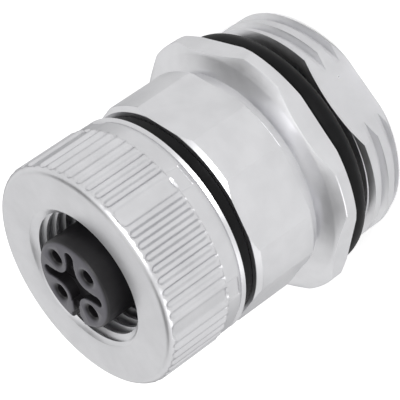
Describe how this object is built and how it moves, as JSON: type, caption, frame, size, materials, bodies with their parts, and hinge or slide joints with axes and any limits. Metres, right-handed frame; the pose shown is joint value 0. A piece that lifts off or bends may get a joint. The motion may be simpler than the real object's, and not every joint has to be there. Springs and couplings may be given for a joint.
{
  "type": "circular connector",
  "caption": "Straight round signal connector: a knurled screw coupling ring turns on a hexagonal panel-mount housing with rubber seal and threaded rear end.",
  "frame": {"origin": "centre of the threaded rear end, on the axis, at the lowest point", "axes": "+Z along the axis from the threaded rear end to the mating face; -Y through the flat milled on the panel thread"},
  "size_m": [0.0228, 0.0218, 0.0265],
  "materials": {
    "nickel_plate": "matt nickel plate on brass",
    "nickel_ring": "matt nickel plate on brass",
    "spring_steel": "bright spring steel",
    "black_rubber": "smooth moulded rubber",
    "grey_plastic": "satin moulded",
    "white_plastic": "satin moulded",
    "gold_plate": "thin gold plate"
  },
  "bodies": {
    "housing_body": {"housing": "nickel_plate", "ring_clip": "spring_steel", "thrust_washer": "white_plastic", "gap_ring": "black_rubber", "panel_seal": "black_rubber", "contact_carrier": "grey_plastic", "carrier_bush": "grey_plastic", "mating_seal": "black_rubber", "carrier_seal": "black_rubber", "index_pin": "spring_steel", "base_gasket": "black_rubber", "carrier_base": "white_plastic", "retaining_nut": "nickel_plate", "contact_1": "gold_plate", "contact_2": "gold_plate", "contact_3": "gold_plate", "contact_4": "gold_plate", "contact_spring_1": "spring_steel", "contact_spring_2": "spring_steel", "contact_spring_3": "spring_steel", "contact_spring_4": "spring_steel"},
    "ring_body": {"coupling_ring": "nickel_ring"}
  },
  "joints": [
    {"name": "ring_turn", "type": "hinge", "parent": "housing_body", "child": "ring_body", "pos_m": [0, 0, 0.0184], "axis": [0, 0, 1], "continuous": true}
  ]
}
